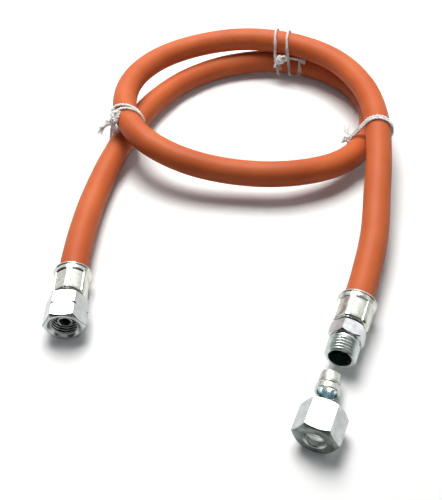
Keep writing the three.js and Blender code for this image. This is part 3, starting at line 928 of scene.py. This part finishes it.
    grown = node("FunctionNodeRandomValue", data_type="FLOAT")
    grown.inputs["Min"].default_value = 0.3
    grown.inputs["Max"].default_value = 1.1
    join(given["Seed"], grown.inputs["Seed"])
    hairs = node("GeometryNodeInstanceOnPoints")
    join(strewn.outputs["Points"], hairs.inputs["Points"])
    join(hair_mesh.outputs["Mesh"], hairs.inputs["Instance"])
    join(spun.outputs["Rotation"], hairs.inputs["Rotation"])
    join(grown.outputs["Value"], hairs.inputs["Scale"])

    everything = node("GeometryNodeJoinGeometry")
    for part in (rounded.outputs["Geometry"], frays.outputs["Mesh"], hairs.outputs["Instances"]):
        join(part, everything.inputs[0])
    real = node("GeometryNodeRealizeInstances")
    join(everything.outputs[0], real.inputs["Geometry"])
    dressed = node("GeometryNodeSetMaterial")
    join(real.outputs["Geometry"], dressed.inputs["Geometry"])
    join(given["Cotton"], dressed.inputs["Material"])
    join(dressed.outputs["Geometry"], node("NodeGroupOutput").inputs["String"])
    return tree


def thread_path(points, spacing=0.8):
    """A smooth line through points given in millimetres."""
    return smooth_route([Vector(point) * mm for point in points], spacing * mm)


string_ties = [
    {
        "name": "left_string_tie", "node": "string_tie_left", "seed": 3, "spread": 1.7,
        "centre": (-57.9, 53.4, 15.7), "heading": 14, "lean": 0, "pitch": 3.1, "loosening": 0.4,
        "ends": [(-62.7, 51.6, 28.3), (-65, 54.3, 26.7)], "knot": (-63.8, 48.8, 27),
        "leave": 42, "open": 4,
        "knots": [((-63.4, 49.4, 27.6), 2.7, 0.9), ((-64.4, 47.2, 25.6), 2.3, 2.3)],
        "tails": [
            [(-64.6, 52.6, 27), (-65.4, 49.4, 25.6), (-64.8, 47, 24.2), (-63.4, 46.6, 26)],
            [(-61.8, 50.6, 28.8), (-61.8, 48, 28.6), (-63, 46, 27)],
            [(-64.2, 48.6, 27.3), (-66, 48.2, 23.6), (-69, 49.6, 21.4), (-71.6, 50.2, 19.2)],
        ],
        "frays": [
            [(-66.8, 48.6, 22.8), (-68, 50, 23.6), (-69.8, 50.8, 22.6)],
            [(-70.4, 49.9, 20.2), (-72.8, 50.6, 18.6), (-74.4, 51, 18)],
            [(-70.4, 49.9, 20), (-72.4, 49.6, 17.8), (-73.8, 49.2, 16)],
            [(-64.4, 47.8, 24.8), (-65, 49.2, 21), (-64.8, 50.4, 18), (-64, 50.6, 15.8)],
        ],
    },
    {
        "name": "back_string_tie", "node": "string_tie_back", "seed": 11, "spread": 1.3,
        "centre": (34.9, 130.1, 15.7), "heading": 103.3, "lean": -0.12,
        "pitch": 7.6, "loosening": 0,
        "ends": [(29.2, 122.6, 16.2), (36.4, 121, 16.4)], "knot": (32.8, 120.9, 16.6),
        "leave": 180, "open": 3,
        "knots": [((32.6, 120.7, 17.2), 2.4, 1.2), ((31.6, 120.9, 15.6), 1.9, 0.2)],
        "tails": [
            [(29.2, 122.4, 16.2), (31, 121.2, 16.6), (33.6, 120.8, 16.2), (36.4, 120.6, 16.6)],
            [(35.7, 121.2, 16.7), (38.6, 121.6, 17), (43, 120.7, 16.6), (47.6, 119.4, 16)],
            [(43.6, 120.4, 16), (47.4, 119, 14.6)],
            [(30.4, 121.2, 15), (29, 120.2, 13.4), (28.4, 120, 12)],
        ],
        "frays": [
            [(43.4, 120.4, 15.9), (44, 119.4, 12.8), (44.2, 118.6, 10), (44, 118.4, 8.2)],
            [(31.6, 120.7, 15), (31.2, 120.4, 12), (32, 120.4, 9.4)],
        ],
    },
    {
        "name": "right_string_tie", "node": "string_tie_right", "seed": 23, "spread": 1.5,
        "centre": (75.5, 41, 15), "heading": 15, "lean": 0, "pitch": 1.6, "loosening": 0,
        "ends": [(64.7, 43.2, 13.7), (64.9, 44.2, 13.5)], "knot": (63.8, 43.1, 13.8),
        "leave": 25, "open": 6,
        "knots": [((63.9, 43.2, 13.6), 2.2, 0.3)],
        "tails": [
            [(64.8, 44.4, 13.8), (62.4, 44.6, 13.4), (61.4, 42.8, 12.2), (63.2, 42, 13.6)],
            [(66.4, 42.6, 15.6), (64.6, 42.2, 14.6), (62.4, 42.4, 12)],
        ],
        "frays": [
            [(63.4, 44.6, 13), (63.6, 48, 12.6), (64.2, 52, 12.4), (64.6, 54.6, 12.4)],
            [(62.4, 42.4, 12.4), (61.2, 43.2, 11.4), (60.6, 44.4, 10.6)],
        ],
    },
]

cotton, tree, shader, where = blank_material("cotton string")
shader["Subsurface Weight"].default_value = 0.6
shader["Subsurface Radius"].default_value = (1, 1, 1)
shader["Subsurface Scale"].default_value = 0.0012
shader["Roughness"].default_value = 0.95
shader["Specular IOR Level"].default_value = 0.2
soil = noise(tree, where["Object"], 260, 3)
two_tones(tree, shader, soil, (0.32, 0.88, 0.86, 0.82), (0.6, 0.97, 0.96, 0.94))
bumps(tree, shader, noise(tree, where["Object"], 2600, 3), 0.7, 0.00012)

frayed_string = string_tree()
string_inputs = {
    item.name: item.identifier
    for item in frayed_string.interface.items_tree
    if item.item_type == "SOCKET" and item.in_out == "INPUT"
}
for tie in string_ties:
    laid = []
    for side, end in zip((-1, 1), tie["ends"]):
        around = [tie["knot"], end]
        for step in range(29):
            angle = tie["leave"] + tie["open"] + (360 - 2 * tie["open"]) * step / 28
            parted = 1 + tie["loosening"] * math.cos(math.radians(angle))
            around.append(loop_round_hose(tie, side * parted * tie["pitch"] / 2, angle))
        around += [end, tie["knot"]]
        laid.append((thread_path(around), False))
    laid += [(thread_path(knot_path(*knot), 0.5), False) for knot in tie["knots"]]
    laid += [(thread_path(tail), False) for tail in tie["tails"]]
    laid += [(thread_path(fray), True) for fray in tie["frays"]]
    corners, edges, frayed = [], [], []
    for path, loose in laid:
        edges += [(len(corners) + i, len(corners) + i + 1) for i in range(len(path) - 1)]
        frayed += [loose] * (len(path) - 1)
        corners += path
    mesh = bpy.data.meshes.new(tie["name"])
    mesh.from_pydata(corners, edges, [])
    mesh.attributes.new("frayed", "BOOLEAN", "EDGE").data.foreach_set("value", frayed)
    string_tie = bpy.data.objects.new(tie["name"], mesh)
    scene.collection.objects.link(string_tie)
    spinning = string_tie.modifiers.new("frayed string", "NODES")
    spinning.node_group = frayed_string
    spinning[string_inputs["Seed"]] = tie["seed"]
    spinning[string_inputs["Fray spread"]] = tie["spread"] * mm
    spinning[string_inputs["Cotton"]] = cotton
    evaluated = string_tie.evaluated_get(bpy.context.evaluated_depsgraph_get())
    plain_mesh = bpy.data.meshes.new_from_object(evaluated)
    string_tie.modifiers.clear()
    string_tie.data = plain_mesh
    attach(string_tie, "hose_assembly")
    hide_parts(tie["node"])
